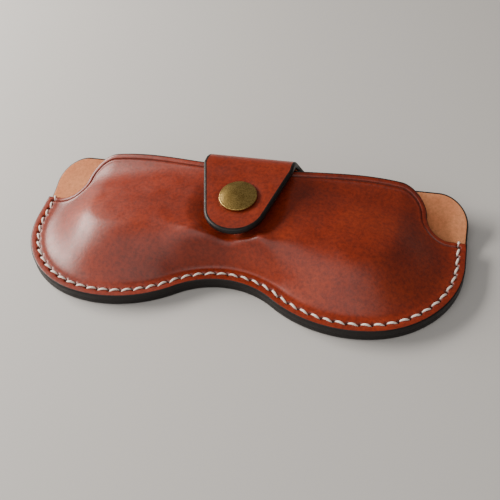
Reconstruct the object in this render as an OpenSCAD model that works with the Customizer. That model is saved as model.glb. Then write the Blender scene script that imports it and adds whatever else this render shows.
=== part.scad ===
// Moulded leather eyeglasses case with a snap strap.
// It lies on its back: +X along the case, +Y towards the mouth, +Z up through the front.
// The origin is on the resting surface, under the middle of the case.

/* [Outline] */
// Length of the case, end to end
case_length = 165; // [152:1:200]
// Height of the back panel, from the bottom of the lobes to the mouth
case_height = 67.5; // [62:0.5:84]
// How far the nose arch rises above the bottom of the lobes
arch_height = 14.5; // [8:0.5:18]
// Distance from each end to the lowest point of its lobe
lobe_inset = 37.5; // [34:0.5:44]
// Radius of the bottom of each lobe
lobe_radius = 47; // [40:0.5:56]
// Angle at which the bottom of a lobe turns into its end curve
end_turn = 11; // [0:1:16]
// Radius of the back panel's corners at the mouth
mouth_corner_radius = 12; // [8:0.5:16]

/* [Leather] */
// Thickness of the leather
leather = 2.5; // [1.8:0.1:3.2]
// Distance below the top of the back panel at which the flat back, on which the case rests, curves up
bow_run = 28.5; // [23.5:0.5:30]
// Radius of the back's curve towards the mouth
bow_radius = 56; // [50:1:400]

/* [Moulded front] */
// Height of the moulding above the sewn flange
crown_rise = 13.2; // [9:0.1:15]
// Height of the moulding above the flange at the middle of the mouth
mouth_rise = 12.2; // [8:0.1:14]
// Width of the flat sewn flange
flange_width = 5.5; // [4.5:0.1:8]
// Width of the wall that rises from the flange around the lobes
wall_width = 21; // [12:0.5:24]
// Width of the wall that rises from the flange above the nose arch
arch_wall_width = 6.5; // [5:0.5:10]

/* [Mouth of the front] */
// Distance of the end notches below the top of the back panel
notch_drop = 21.5; // [16:0.5:26]
// Distance of the front's upper edge below the top of the back panel
edge_drop = 3.8; // [2:0.1:8]
// The same distance at the middle, where the moulding draws the edge back
edge_drop_middle = 9; // [7:0.1:12]
// Distance from each end to the start of the notch curve
notch_inset = 6.5; // [5:0.5:12]
// Steepest angle of the notch curve
notch_slope = 85; // [60:1:88]
// Radius of the hollow part of the notch curve
notch_radius = 8.5; // [6:0.5:11]

/* [Stitching] */
// Distance of the stitch line from the sewn edge
stitch_inset = 3; // [2.4:0.1:4]
// Number of stitches on each half of the seam
stitches_per_half = 26; // [20:1:32]
// Diameter of one strand of thread
thread = 0.8; // [0.5:0.05:1]
// Sideways slant of each stitch
stitch_slant = 1; // [0.8:0.1:1.4]

/* [Strap] */
// Width of the strap where it leaves the fold
strap_width = 34.5; // [28:0.5:40]
// Length of the straight part of the strap
strap_length = 31.5; // [27:0.5:38]
// Radius of the strap's round end
strap_end_radius = 11.5; // [9.5:0.5:13]
// Downward tilt of the strap as it lies on the front
strap_tilt = 5; // [2:0.5:7]
// Distance from the strap's round end to the centre of the snap
snap_setback = 16; // [13:0.5:18]
// Distance below the top of the back panel at which the strap's fold begins
fold_setback = 7.5; // [6:0.1:9]
// Radius of the fillets where the strap widens into the back panel
root_fillet = 12; // [6:0.5:13]
// Air between the strap and the front's edge inside the fold
fold_clearance = 0.5; // [0.4:0.1:1.5]

/* [Snap] */
// Diameter of the cap
cap_diameter = 14; // [12:0.5:15]
// Height of the cap's dome above the strap
cap_height = 1.9; // [1.4:0.1:2.6]
// Distance from the strap's underside to the front when the snap is closed
snap_standoff = 3.8; // [3.6:0.1:4.6]
// Diameter of the stud's head
stud_head = 6.4; // [5.6:0.1:7]
// Diameter of the holes punched for the snap's posts
post_hole = 4.4; // [4.2:0.1:4.8]

/* [Hidden] */

// ---- Outline of the sewn edge: arch, lobe and end arcs, tangent to each other ----
half = case_length / 2;
lobe_x = half - lobe_inset;
end_radius = (lobe_inset - lobe_radius * sin(end_turn)) / (1 - sin(end_turn));
end_centre = [
    lobe_x + (lobe_radius - end_radius) * sin(end_turn),
    lobe_radius - (lobe_radius - end_radius) * cos(end_turn)
];
arch_radius = (pow(lobe_x, 2) - 2 * lobe_radius * arch_height + pow(arch_height, 2)) / (2 * arch_height);
arch_centre_y = arch_height - arch_radius;
arch_turn = atan2(lobe_x, lobe_radius - arch_centre_y);
arch_end_x = arch_radius * sin(arch_turn);
lobe_end_x = lobe_x + lobe_radius * sin(end_turn);

// Lower edge of both panels at a place along the case
function sewn_edge(x) = let (ax = abs(x))
    ax < arch_end_x ? arch_centre_y + sqrt(pow(arch_radius, 2) - ax * ax)
    : ax < lobe_end_x ? lobe_radius - sqrt(pow(lobe_radius, 2) - pow(ax - lobe_x, 2))
    : end_centre.y - sqrt(max(0, pow(end_radius, 2) - pow(ax - end_centre.x, 2)));

// ---- The back's curve ----
bow_start = case_height - bow_run;
function bow(y) = y < bow_start ? 0 : bow_radius - sqrt(pow(bow_radius, 2) - pow(y - bow_start, 2));
function bow_angle(y) = y < bow_start ? 0 : asin((y - bow_start) / bow_radius);

// ---- Mouth edge of the front: from the middle to the right end ----
notch_y = case_height - notch_drop;
edge_y = case_height - edge_drop;
edge_middle_y = case_height - edge_drop_middle;
notch_start_x = half - notch_inset;
shoulder_radius = (edge_y - notch_y) / (1 - cos(notch_slope)) - notch_radius;
shoulder_x = notch_start_x - (notch_radius + shoulder_radius) * sin(notch_slope);
function edge_sag(x) = edge_middle_y + (edge_y - edge_middle_y) * (1 - cos(180 * x / shoulder_x)) / 2;

EDGE_STEPS = 17;
CURVE_STEPS = 8;
mouth_half = concat(
    [for (i = [0 : EDGE_STEPS - 1]) let (x = shoulder_x * i / EDGE_STEPS) [x, edge_sag(x)]],
    [for (i = [0 : CURVE_STEPS - 1]) let (a = notch_slope * i / CURVE_STEPS)
        [shoulder_x + shoulder_radius * sin(a), edge_y - shoulder_radius * (1 - cos(a))]],
    [for (i = [0 : CURVE_STEPS - 1]) let (a = notch_slope * (1 - i / CURVE_STEPS))
        [notch_start_x - notch_radius * sin(a), notch_y + notch_radius * (1 - cos(a))]],
    [for (f = [0, 0.35, 0.65, 0.88, 1]) [notch_start_x + notch_inset * f, notch_y]]
);

// ---- Top edge of the back panel, at the same places along the case ----
corner_x = half - mouth_corner_radius;
function back_top(x) = let (ax = abs(x))
    ax < corner_x ? case_height
    : case_height - mouth_corner_radius + sqrt(max(0, pow(mouth_corner_radius, 2) - pow(ax - corner_x, 2)));

// ---- The strap's fold: an arc that is tangent to the back's underside ----
fold_y = case_height - fold_setback;
fold_slope = bow_angle(fold_y);
mouth_top = bow(edge_middle_y) + 2 * leather + mouth_rise;
fold_radius = (mouth_top + fold_clearance + leather - bow(fold_y)) / (1 + cos(fold_slope));
fold_centre = [
    fold_y - fold_radius * sin(fold_slope),
    bow(fold_y) + fold_radius * cos(fold_slope)
];
fold_start_angle = fold_slope - 90;
root_angle = fold_start_angle + fold_setback / fold_radius * 180 / PI;
fold_end_angle = 90 + strap_tilt;
fold_middle_angle = (root_angle + fold_end_angle) / 2;
root_y = fold_centre.x + fold_radius * cos(root_angle);
root_half_width = strap_width / 2 + root_fillet;
// Room between two parts of the strap that move against each other
JOINT_GAP = 0.3;

function smooth(t) = let (u = min(1, max(0, t))) u * u * (3 - 2 * u);

// Underside of the back panel: the strap's root curves up into the fold, and the rest stays on the bow
function fold_under(y) = fold_centre.y
    - sqrt(max(0, pow(fold_radius, 2) - pow(min(y, root_y) - fold_centre.x, 2)));
// The lift of the root dies away over this distance on either side of it
ROOT_BLEND = 17.5;
function root_share(x) = 1 - smooth((abs(x) - root_half_width) / ROOT_BLEND);
function back_under(x, y) = y <= fold_y ? bow(y)
    : bow(y) + (fold_under(y) - bow(y)) * root_share(x);
function back_edge(x) = back_top(x) - (case_height - root_y) * root_share(x);

// ---- The strap's own frame: origin under the snap, on the strap's underside, +Z out of the leather ----
fold_inner_end = fold_centre + (fold_radius - leather) * [cos(fold_end_angle), sin(fold_end_angle)];
snap_along = strap_length - snap_setback;
snap_origin = fold_inner_end - snap_along * [cos(strap_tilt), sin(strap_tilt)];
function strap_under(y) = snap_origin.y + (y - snap_origin.x) * tan(strap_tilt);

// ---- Moulded surface of the front ----
// Distance inside the sewn edge, which leaves out the mouth
FAR = 1000;
function sewn_gap(x, y) = let (
        ax = abs(x),
        from_arch = [ax, y - arch_centre_y],
        from_lobe = [ax - lobe_x, y - lobe_radius],
        from_end = [ax - end_centre.x, y - end_centre.y],
        arch_angle = atan2(from_arch.x, from_arch.y),
        lobe_angle = atan2(from_lobe.x, -from_lobe.y),
        end_angle = atan2(from_end.x, -from_end.y)
    ) min(
        arch_angle < arch_turn ? norm(from_arch) - arch_radius : FAR,
        lobe_angle >= -arch_turn && lobe_angle <= end_turn ? lobe_radius - norm(from_lobe) : FAR,
        end_angle >= end_turn && end_angle <= 90 ? end_radius - norm(from_end) : FAR,
        y >= end_centre.y ? half - ax : FAR
    );
// The lobes are flat-topped, and the mouth is a lens
LOBE_POWER = 4;
MOUTH_POWER = 1.5;
// Distance from the bottom at which the lobes' flat top ends, and at which the height starts to change
lobe_top_y = 28;
crown_break_y = edge_middle_y - 13.5;
function across_power(y) = LOBE_POWER + (MOUTH_POWER - LOBE_POWER)
    * smooth((y - lobe_top_y) / (edge_middle_y - lobe_top_y));
function crown(y) = crown_rise + (mouth_rise - crown_rise) * smooth((y - crown_break_y) / (edge_middle_y - crown_break_y));
// The wall widens between these distances from the middle
WALL_CHANGE = [8, 38];
function wall(x) = arch_wall_width + (wall_width - arch_wall_width)
    * smooth((abs(x) - WALL_CHANGE[0]) / (WALL_CHANGE[1] - WALL_CHANGE[0]));
WALL_POWER = 1.3;
function wall_share(x, y) = let (t = min(1, max(0, (sewn_gap(x, y) - flange_width) / wall(x))))
    pow(sin(90 * t), WALL_POWER);
// The snap draws the front in, to a flat seat around the stud
SEAT_RADIUS = 9;
DIMPLE = [20, 20];
function dimple_share(x, y) = let (
        r = norm([x / DIMPLE.x, (y - snap_origin.x) / DIMPLE.y]),
        r_flat = SEAT_RADIUS / DIMPLE.y
    ) smooth((1 - r) / (1 - r_flat));
function front_top(x, y) = let (
        across = 1 - pow(min(1, abs(x) / half), across_power(y)),
        moulded = bow(y) + 2 * leather + crown(y) * across * wall_share(x, y),
        seat = strap_under(y) - snap_standoff / cos(strap_tilt)
    ) moulded + (min(moulded, seat) - moulded) * dimple_share(x, y);

// ---- Sheets of leather ----
// Columns of points across the case: the mouth edge's own places, mirrored
columns = concat(
    [for (i = [len(mouth_half) - 1 : -1 : 1]) [-mouth_half[i].x, mouth_half[i].y]],
    mouth_half
);
FRONT_ROWS = 22;
BACK_ROWS = 11;
function unit(v) = v / norm(v);
STEP = 0.05;
// A solid between a grid of points and the same grid moved by the leather's thickness
module sheet(grid, shifted) {
    rows = len(grid);
    cols = len(grid[0]);
    count = rows * cols;
    points = concat([for (row = grid) for (p = row) p], [for (row = shifted) for (p = row) p]);
    inner = [for (i = [0 : rows - 2]) for (j = [0 : cols - 2]) let (a = i * cols + j)
        each [[a, a + 1, a + cols + 1], [a, a + cols + 1, a + cols]]];
    outer = [for (f = inner) [f[2] + count, f[1] + count, f[0] + count]];
    rim = concat(
        [for (j = [0 : cols - 1]) j],
        [for (i = [1 : rows - 1]) i * cols + cols - 1],
        [for (j = [cols - 2 : -1 : 0]) (rows - 1) * cols + j],
        [for (i = [rows - 2 : -1 : 1]) i * cols]
    );
    last = len(rim) - 1;
    sides = [for (k = [0 : last]) let (a = rim[k], b = rim[k == last ? 0 : k + 1])
        each [[b, a, a + count], [b, a + count, b + count]]];
    polyhedron(points, concat(inner, outer, sides));
}

function front_point(x, y) = [x, y, front_top(x, y)];
function front_normal(x, y) = unit([
    front_top(x - STEP, y) - front_top(x + STEP, y),
    front_top(x, y - STEP) - front_top(x, y + STEP),
    2 * STEP
]);
// The slope is taken on the panel's side of the root, so that the root's end is square to the fold
function back_normal(x, y) = let (v = min(y, root_y - STEP)) unit([
    back_under(x - STEP, v) - back_under(x + STEP, v),
    back_under(x, v - STEP) - back_under(x, v + STEP),
    2 * STEP
]);
// Rows are closer together near the sewn edge, where the front rises
function row_share(i, rows) = pow(i / rows, 1.35);

depth = max(back_edge(corner_x), fold_centre.x + fold_radius);
module placed() translate([0, -depth / 2, 0]) children();

module back_panel() color([0.48, 0.16, 0.07]) placed() {
    spots = [for (c = columns) let (low = sewn_edge(c.x), high = back_edge(c.x))
        [for (i = [0 : BACK_ROWS]) [c.x, low + (high - low) * sin(90 * i / BACK_ROWS)]]];
    under = [for (col = spots) [for (p = col) [p.x, p.y, back_under(p.x, p.y)]]];
    over = [for (col = spots) [for (p = col)
        [p.x, p.y, back_under(p.x, p.y)] + leather * back_normal(p.x, p.y)]];
    sheet(over, under);
}

module front_panel() color([0.55, 0.19, 0.08]) placed() difference() {
    spots = [for (c = columns) let (low = sewn_edge(c.x))
        [for (i = [0 : FRONT_ROWS]) [c.x, low + (c.y - low) * row_share(i, FRONT_ROWS)]]];
    over = [for (col = spots) [for (p = col) front_point(p.x, p.y)]];
    under = [for (col = spots) [for (p = col)
        front_point(p.x, p.y) - leather * front_normal(p.x, p.y)]];
    sheet(over, under);
    at_snap() translate([0, 0, -snap_standoff - 2 * leather])
        cylinder(d = post_hole, h = 3 * leather, $fn = 32);
}

// ---- Saddle stitch: two strands that change sides at every hole ----
arch_run = (arch_radius + stitch_inset) * arch_turn * PI / 180;
lobe_run = (lobe_radius - stitch_inset) * (arch_turn + end_turn) * PI / 180;
end_run = (end_radius - stitch_inset) * (90 - end_turn) * PI / 180;
// The last hole lies just past the mouth edge of the front, so the last stitch wraps over it
WRAP = 2.2;
seam_run = arch_run + lobe_run + end_run + notch_y - end_centre.y + WRAP;
stitch_pitch = seam_run / stitches_per_half;

function seam_half(s) =
    s < arch_run ? let (a = s / (arch_radius + stitch_inset) * 180 / PI)
        [(arch_radius + stitch_inset) * sin(a), arch_centre_y + (arch_radius + stitch_inset) * cos(a), -a]
    : s < arch_run + lobe_run ? let (a = (s - arch_run) / (lobe_radius - stitch_inset) * 180 / PI - arch_turn)
        [lobe_x + (lobe_radius - stitch_inset) * sin(a), lobe_radius - (lobe_radius - stitch_inset) * cos(a), a]
    : s < arch_run + lobe_run + end_run ?
        let (a = (s - arch_run - lobe_run) / (end_radius - stitch_inset) * 180 / PI + end_turn)
        [end_centre.x + (end_radius - stitch_inset) * sin(a),
         end_centre.y - (end_radius - stitch_inset) * cos(a), a]
    : [half - stitch_inset, end_centre.y + s - arch_run - lobe_run - end_run, 90];
// Place and heading of the seam, from the left end (negative) to the right end
function seam(s) = let (h = seam_half(abs(s))) s < 0 ? [-h[0], h[1], -h[2]] : h;

THREAD_SIDES = 8;
// Corner of a strand: a ring that halves the turn between a stitch and a hole
function thread_ring(hole, up, on_front) = let (
        place = seam((hole - stitches_per_half) * stitch_pitch),
        along = [cos(place[2]), sin(place[2]), 0],
        inward = [-sin(place[2]), cos(place[2]), 0],
        lean = (up ? -1 : 1) * along + [0, 0, 1],
        height = bow(place[1]) + (on_front ? 2 * leather + thread * 0.25 : thread / 2),
        centre = [place[0], place[1], height] + inward * (up ? 1 : -1) * stitch_slant / 2
    ) [for (k = [0 : THREAD_SIDES - 1]) let (a = -360 * k / THREAD_SIDES)
        centre + thread / 2 * (inward * cos(a) + lean * sin(a))];
// A strand starts on the front or on the back, and changes sides at each hole
function strand_rings(starts_on_front) = [
    for (hole = [0 : 2 * stitches_per_half])
        let (up = (hole % 2 == 0) == starts_on_front)
            each [thread_ring(hole, up, !up), thread_ring(hole, up, up)]
];
module tube(rings) {
    sides = len(rings[0]);
    last = len(rings) - 1;
    points = [for (ring = rings) for (p = ring) p];
    walls = [for (i = [0 : last - 1]) for (k = [0 : sides - 1]) let (
            a = i * sides + k,
            b = i * sides + (k + 1) % sides
        ) each [[a, b, b + sides], [a, b + sides, a + sides]]];
    polyhedron(points, concat(
        walls,
        [[for (k = [sides - 1 : -1 : 0]) k]],
        [[for (k = [0 : sides - 1]) last * sides + k]]
    ));
}
module thread_strand_a() color("ivory") placed() tube(strand_rings(true));
module thread_strand_b() color("ivory") placed() tube(strand_rings(false));

// ---- The strap: two bent parts and a straight one, hinged on the grain side ----
// Half of the angle that a joint gap takes on the grain side of the fold
gap_angle = JOINT_GAP / 2 / fold_radius * 180 / PI;
bend_start_angle = root_angle + 2 * gap_angle;
// Half width of the strap at an angle of the fold: fillets widen it into the back panel
fillet_angle = root_fillet / fold_radius * 180 / PI;
function fold_half_width(a) = let (t = min(1, max(0, (a - bend_start_angle) / fillet_angle)))
    strap_width / 2 + root_fillet * (1 - sqrt(1 - pow(1 - t, 2)));
function fold_ring(a) = let (w = fold_half_width(a), grain = fold_radius, flesh = fold_radius - leather)
    [for (p = [[w, flesh], [-w, flesh], [-w, grain], [w, grain]])
        [p.x, fold_centre.x + p.y * cos(a), fold_centre.y + p.y * sin(a)]];
FOLD_STEPS = 20;
module fold_part(from, to)
    tube([for (i = [0 : FOLD_STEPS]) fold_ring(from + (to - from) * i / FOLD_STEPS)]);
module strap_bend_lower() color([0.48, 0.16, 0.07]) placed()
    fold_part(bend_start_angle, fold_middle_angle - gap_angle);
module strap_bend_upper() color([0.48, 0.16, 0.07]) placed()
    fold_part(fold_middle_angle + gap_angle, fold_end_angle - gap_angle);

module at_snap() translate([0, snap_origin.x, snap_origin.y]) rotate([strap_tilt, 0, 0]) children();

// Outline of the straight part: tapered sides, tangent to the round end
taper_run = strap_length - strap_end_radius;
taper_angle = acos(strap_end_radius / norm([taper_run, strap_width / 2]))
    - atan2(taper_run, strap_width / 2);
END_STEPS = 24;
module tab_outline() {
    end_y = snap_along - taper_run;
    round_end = [for (i = [0 : END_STEPS]) let (a = -taper_angle - (180 - 2 * taper_angle) * i / END_STEPS)
        [strap_end_radius * cos(a), end_y + strap_end_radius * sin(a)]];
    top = snap_along - JOINT_GAP / 2;
    polygon(concat([[-strap_width / 2, top], [strap_width / 2, top]], round_end));
}
module strap_tab() color([0.48, 0.16, 0.07]) placed() at_snap() difference() {
    linear_extrude(leather) tab_outline();
    translate([0, 0, -1]) cylinder(d = post_hole, h = leather + 2, $fn = 32);
}

// ---- Snap: cap and socket on the strap, stud and eyelet on the front ----
metal = 0.5;
// Broken edges of the turned parts
ease = 0.2;
post_play = 0.15;
post_r = post_hole / 2 - post_play;
post_bore_r = post_r - metal;
socket_plate = 0.6;
socket_wall = 2.7;
socket_drop = snap_standoff - metal - JOINT_GAP;
undercut = 0.4;
stud_neck_r = stud_head / 2 - undercut;
stud_room = 0.4;
cavity_r = stud_head / 2 + stud_room;
socket_r = cavity_r + socket_wall;
roll_width = 0.8;
roll_r = post_r + roll_width;
stud_top = -1.3;
head_height = 0.9;
stud_flange_r = 5.6;
eyelet_flange_r = 5;

// Dome with a turned-down rim, and the hollow post that is rolled over inside the socket
rim_width = 0.3;
rim_height = 0.7;
rim_side = 0.45;
roll_height = 0.25;
cap_room = 0.2;
DOME_STEPS = 10;
module snap_cap() color([0.52, 0.42, 0.22]) placed() at_snap() {
    rim = cap_diameter / 2;
    dome_half = rim - rim_width;
    dome_rise = cap_height - rim_height;
    dome_r = (pow(dome_half, 2) + pow(dome_rise, 2)) / (2 * dome_rise);
    dome_z = leather + cap_height - dome_r;
    dome = [for (i = [0 : DOME_STEPS]) let (x = dome_half * i / DOME_STEPS)
        [x, dome_z + sqrt(pow(dome_r, 2) - x * x)]];
    rotate_extrude($fn = 64) polygon(concat(
        dome,
        [[rim, leather + rim_side], [rim, leather + ease], [rim - ease, leather], [post_r, leather]],
        [[post_r, -socket_plate], [roll_r, -socket_plate], [roll_r, -socket_plate - roll_height]],
        [[post_bore_r, -socket_plate - roll_height - ease / 2]],
        [[post_bore_r, leather + cap_room], [0, leather + cap_room]]
    ));
}
// Cup that takes the stud's head, with a groove for the spring
spring_wire_r = 0.25;
spring_gap = 0.05;
spring_r = stud_neck_r + ease + spring_wire_r;
spring_z = stud_top - head_height - spring_wire_r - spring_gap;
module snap_socket() color([0.72, 0.6, 0.36]) placed() at_snap() rotate_extrude($fn = 64) difference() {
    polygon([
        [post_hole / 2, 0], [socket_r - 2 * ease, 0], [socket_r, -2 * ease],
        [socket_r - ease, -socket_drop + metal], [socket_r - ease - metal, -socket_drop],
        [cavity_r, -socket_drop], [cavity_r, -socket_plate], [post_hole / 2, -socket_plate]
    ]);
    translate([cavity_r - ease, spring_z - spring_wire_r - spring_gap])
        square([spring_r + spring_wire_r + 2 * ease - cavity_r, 2 * (spring_wire_r + spring_gap)]);
}
// Split ring that grips the stud's neck
SPRING_SPLIT = 40;
module snap_spring() color("silver") placed() at_snap() translate([0, 0, spring_z])
    rotate([0, 0, 90 + SPRING_SPLIT / 2]) rotate_extrude(angle = 360 - SPRING_SPLIT, $fn = 48)
        translate([spring_r, 0]) circle(r = spring_wire_r, $fn = 16);
// Flange on the front's grain side, neck and mushroom head, hollow below
module snap_stud() color([0.72, 0.6, 0.36]) placed() at_snap() rotate_extrude($fn = 64) {
    base = -snap_standoff;
    head = stud_head / 2;
    polygon([
        [post_hole / 2, base], [stud_flange_r - ease, base], [stud_flange_r, base + ease],
        [stud_flange_r - ease, base + metal], [stud_neck_r + ease, base + metal],
        [stud_neck_r, base + metal + ease], [stud_neck_r, stud_top - head_height],
        [head, stud_top - head_height + undercut], [head, stud_top - undercut],
        [head - undercut, stud_top], [0, stud_top], [0, stud_top - metal], [post_hole / 2, stud_top - metal]
    ]);
}
// Flange inside the pocket, and the hollow post that spreads inside the stud
module snap_eyelet() color([0.72, 0.6, 0.36]) placed() at_snap() rotate_extrude($fn = 64) {
    under = -snap_standoff - leather;
    top = stud_top - metal - ease / 2;
    polygon([
        [post_bore_r, under - metal], [eyelet_flange_r - ease, under - metal],
        [eyelet_flange_r, under - metal + ease], [eyelet_flange_r - ease, under],
        [post_r, under], [post_r, top], [post_bore_r, top]
    ]);
}

back_panel();
front_panel();
thread_strand_a();
thread_strand_b();
strap_bend_lower();
strap_bend_upper();
strap_tab();
snap_cap();
snap_socket();
snap_spring();
snap_stud();
snap_eyelet();
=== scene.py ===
"""Moulded leather eyeglasses case with a snap strap: leather, stitching and snap around the CAD frame.

Shapes are worked out in millimetres, in the design's own frame, where Y counts from the bottom of the
lobes. MM and Y_SHIFT take them to the shared frame. The case lies on its back with its front up.
"""

import math

import bpy
import numpy as np
from mathutils import Matrix, Vector


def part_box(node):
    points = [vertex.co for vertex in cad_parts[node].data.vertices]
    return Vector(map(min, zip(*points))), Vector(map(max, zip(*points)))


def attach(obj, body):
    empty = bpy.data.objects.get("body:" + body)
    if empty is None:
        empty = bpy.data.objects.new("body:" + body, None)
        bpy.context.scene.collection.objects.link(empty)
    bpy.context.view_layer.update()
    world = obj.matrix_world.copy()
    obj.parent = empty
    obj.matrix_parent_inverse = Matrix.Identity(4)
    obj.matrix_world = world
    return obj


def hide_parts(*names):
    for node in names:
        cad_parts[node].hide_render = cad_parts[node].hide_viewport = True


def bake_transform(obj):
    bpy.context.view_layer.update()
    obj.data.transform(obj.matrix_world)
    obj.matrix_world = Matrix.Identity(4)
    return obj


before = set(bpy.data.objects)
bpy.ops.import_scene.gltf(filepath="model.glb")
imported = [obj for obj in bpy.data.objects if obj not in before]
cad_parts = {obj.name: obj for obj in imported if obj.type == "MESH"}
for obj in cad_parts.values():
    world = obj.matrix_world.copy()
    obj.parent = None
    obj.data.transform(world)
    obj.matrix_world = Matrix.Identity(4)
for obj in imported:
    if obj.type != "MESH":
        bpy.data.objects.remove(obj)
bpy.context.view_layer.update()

MM = 0.001

# ---- Sizes of the design ----
back_low, back_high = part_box("back_panel")
CASE_LENGTH = (back_high[0] - back_low[0]) / MM
CASE_HEIGHT = 2 * back_high[1] / MM
Y_SHIFT = -CASE_HEIGHT / 2
HALF = CASE_LENGTH / 2
LEATHER = 2.5

ARCH_HEIGHT, LOBE_INSET, LOBE_RADIUS = 14.5, 37.5, 47.0
END_TURN = math.radians(11)
MOUTH_CORNER = 12.0
BOW_START, BOW_RADIUS = CASE_HEIGHT - 28.5, 56.0
CROWN_RISE, MOUTH_RISE = 13.2, 12.2
FLANGE, WALL, ARCH_WALL, WALL_POWER = 5.5, 21.0, 6.5, 1.3
LOBE_POWER, MOUTH_POWER = 4.0, 1.5

NOTCH_Y = CASE_HEIGHT - 21.5
EDGE_Y = CASE_HEIGHT - 3.8
EDGE_MIDDLE_Y = CASE_HEIGHT - 9.0
NOTCH_X = HALF - 6.5
NOTCH_SLOPE = math.radians(85)
NOTCH_RADIUS = 8.5
SHOULDER_RADIUS = (EDGE_Y - NOTCH_Y) / (1 - math.cos(NOTCH_SLOPE)) - NOTCH_RADIUS
SHOULDER_X = NOTCH_X - (NOTCH_RADIUS + SHOULDER_RADIUS) * math.sin(NOTCH_SLOPE)

STITCH_INSET, STITCHES = 3.0, 26
WRAP = 2.2

STRAP_WIDTH, STRAP_LENGTH, TIP_RADIUS = 34.5, 31.5, 11.5
STRAP_TILT = math.radians(5)
SNAP_SETBACK, FOLD_SETBACK, ROOT_FILLET = 16.0, 7.5, 12.0
FOLD_CLEARANCE, STANDOFF = 0.5, 3.8

# Outline of the sewn edge: arch, lobe and end arcs, tangent to each other
LOBE_X = HALF - LOBE_INSET
END_RADIUS = (LOBE_INSET - LOBE_RADIUS * math.sin(END_TURN)) / (1 - math.sin(END_TURN))
END_X = LOBE_X + (LOBE_RADIUS - END_RADIUS) * math.sin(END_TURN)
END_Y = LOBE_RADIUS - (LOBE_RADIUS - END_RADIUS) * math.cos(END_TURN)
ARCH_RADIUS = (LOBE_X**2 - 2 * LOBE_RADIUS * ARCH_HEIGHT + ARCH_HEIGHT**2) / (2 * ARCH_HEIGHT)
ARCH_Y = ARCH_HEIGHT - ARCH_RADIUS
ARCH_TURN = math.atan2(LOBE_X, LOBE_RADIUS - ARCH_Y)


def smooth(t):
    u = np.clip(t, 0, 1)
    return u * u * (3 - 2 * u)


def bell(distance, width):
    return np.exp(-((distance / width) ** 2))


# ---- The back's curve, and the strap's fold ----
def bow(y):
    past = np.maximum(y - BOW_START, 0)
    return BOW_RADIUS - np.sqrt(BOW_RADIUS**2 - past**2)


FOLD_Y = CASE_HEIGHT - FOLD_SETBACK
FOLD_SLOPE = math.asin((FOLD_Y - BOW_START) / BOW_RADIUS)
MOUTH_TOP = float(bow(EDGE_MIDDLE_Y)) + 2 * LEATHER + MOUTH_RISE
FOLD_RADIUS = (MOUTH_TOP + FOLD_CLEARANCE + LEATHER - float(bow(FOLD_Y))) / (1 + math.cos(FOLD_SLOPE))
FOLD_CY = FOLD_Y - FOLD_RADIUS * math.sin(FOLD_SLOPE)
FOLD_CZ = float(bow(FOLD_Y)) + FOLD_RADIUS * math.cos(FOLD_SLOPE)
ROOT_ANGLE = FOLD_SLOPE - math.pi / 2 + FOLD_SETBACK / FOLD_RADIUS
FOLD_END = math.pi / 2 + STRAP_TILT
ROOT_Y = FOLD_CY + FOLD_RADIUS * math.cos(ROOT_ANGLE)
ROOT_HALF = STRAP_WIDTH / 2 + ROOT_FILLET
ROOT_BLEND = 17.5


def root_share(x):
    return 1 - smooth((np.abs(x) - ROOT_HALF) / ROOT_BLEND)


def back_under(x, y):
    """Height of the back's grain side: the strap's root curves up into the fold."""
    inside = np.minimum(y, ROOT_Y) - FOLD_CY
    fold = FOLD_CZ - np.sqrt(np.maximum(0, FOLD_RADIUS**2 - inside**2))
    return np.where(y <= FOLD_Y, bow(y), bow(y) + (fold - bow(y)) * root_share(x))


# Place of the snap: on the strap's flesh side, in the frame that tilts with the strap
FOLD_RUN = FOLD_RADIUS * (FOLD_END - ROOT_ANGLE)
SNAP_RUN = FOLD_RUN + STRAP_LENGTH - SNAP_SETBACK
SNAP_Y = FOLD_CY + (FOLD_RADIUS - LEATHER) * math.cos(FOLD_END) - (SNAP_RUN - FOLD_RUN) * math.cos(STRAP_TILT)
SNAP_Z = FOLD_CZ + (FOLD_RADIUS - LEATHER) * math.sin(FOLD_END) - (SNAP_RUN - FOLD_RUN) * math.sin(STRAP_TILT)


# ---- The moulded front ----
def sewn_gap(x, y):
    """Distance inside the sewn edge, which leaves out the mouth."""
    ax = np.abs(x)
    far = 1000.0
    arch = np.hypot(ax, y - ARCH_Y) - ARCH_RADIUS
    lobe = LOBE_RADIUS - np.hypot(ax - LOBE_X, y - LOBE_RADIUS)
    end = END_RADIUS - np.hypot(ax - END_X, y - END_Y)
    arch_angle = np.arctan2(ax, y - ARCH_Y)
    lobe_angle = np.arctan2(ax - LOBE_X, LOBE_RADIUS - y)
    end_angle = np.arctan2(ax - END_X, END_Y - y)
    gap = np.where(arch_angle < ARCH_TURN, arch, far)
    in_lobe = (lobe_angle >= -ARCH_TURN) & (lobe_angle <= END_TURN)
    gap = np.minimum(gap, np.where(in_lobe, lobe, far))
    in_end = (end_angle >= END_TURN) & (end_angle <= math.pi / 2)
    gap = np.minimum(gap, np.where(in_end, end, far))
    return np.minimum(gap, np.where(y >= END_Y, HALF - ax, far))


LOBE_TOP_Y = 28.0
CROWN_BREAK_Y = EDGE_MIDDLE_Y - 13.5
# The wall widens between these distances from the middle
WALL_CHANGE = (8.0, 38.0)
SEAT_RADIUS = 9.0
# Height over which the seat's border is rounded
SEAT_BLEND = 2.0
DIMPLE_X, DIMPLE_Y = 20.0, 20.0
# Folds that the snap's pull draws in the front: start, end, half width and height
FOLDS = [
    ((-13.0, 27.0), (-27.0, 15.0), 3.2, 0.55),
    ((10.0, 27.0), (17.0, 17.0), 3.0, 0.8),
    ((-1.0, 30.5), (0.5, 19.0), 5.5, -1.9),
]


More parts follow.
